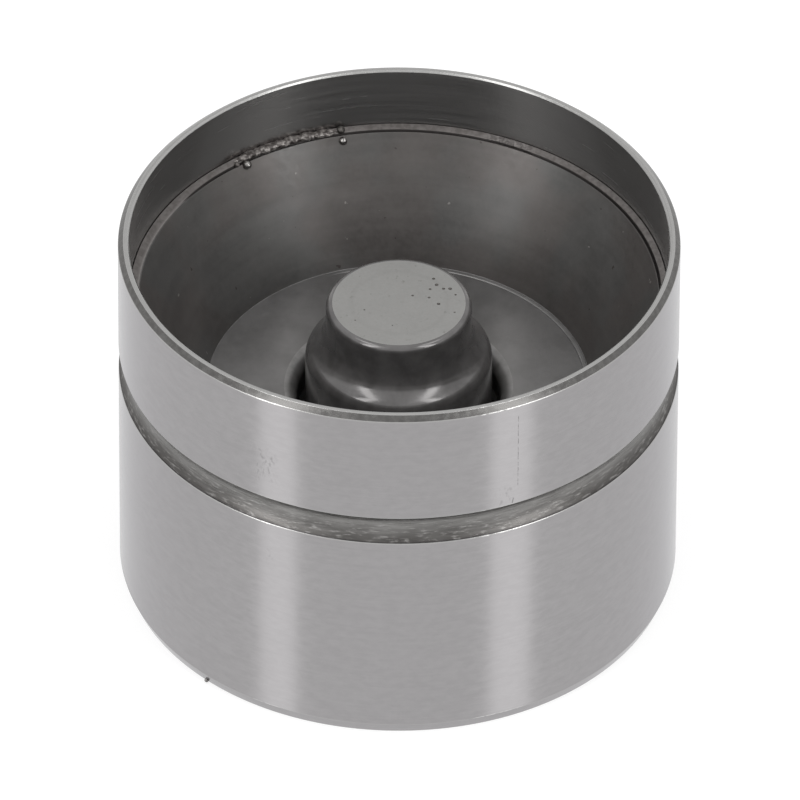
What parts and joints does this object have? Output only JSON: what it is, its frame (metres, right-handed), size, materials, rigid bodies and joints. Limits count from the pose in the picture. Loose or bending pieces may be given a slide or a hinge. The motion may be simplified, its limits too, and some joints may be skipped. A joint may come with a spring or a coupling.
{
  "type": "hydraulic bucket valve lifter",
  "caption": "Hydraulic bucket valve lifter: ground steel cup with an oil groove, a drawn guide cup inside and a sprung plunger that takes up the valve clearance.",
  "frame": {"origin": "centre of the cam face, which is also the lowest face", "axes": "+Z along the axis from the cam face to the open end; +Y towards the oil feed hole"},
  "size_m": [0.035, 0.035, 0.0255],
  "materials": {
    "ground_steel": "ground and lightly brushed",
    "drawn_steel": "drawn sheet, satin grey",
    "dark_steel": "hardened, dark and glossy, with a ground face",
    "ball_steel": "polished",
    "spring_steel": "drawn wire",
    "cage_steel": "stamped sheet"
  },
  "bodies": {
    "bucket": {"bucket_body": "ground_steel", "guide_cup": "drawn_steel", "inner_piston": "ground_steel", "ball_cage": "cage_steel", "ball_spring": "spring_steel", "return_spring": "spring_steel"},
    "plunger": {"plunger_cylinder": "dark_steel", "retaining_ring": "spring_steel"},
    "ball": {"check_ball": "ball_steel"}
  },
  "joints": [
    {"name": "plunger_slide", "type": "slide", "parent": "bucket", "child": "plunger", "axis": [0, 0, -1], "range_m": [0, 0.0025], "stiffness_N_per_m": 3000, "springref_m": -0.003, "deforming": ["return_spring"]},
    {"name": "ball_lift", "type": "slide", "parent": "bucket", "child": "ball", "axis": [0, 0, 1], "range_m": [0, 0.0003], "stiffness_N_per_m": 150, "springref_m": -0.0008, "deforming": ["ball_spring"]}
  ]
}
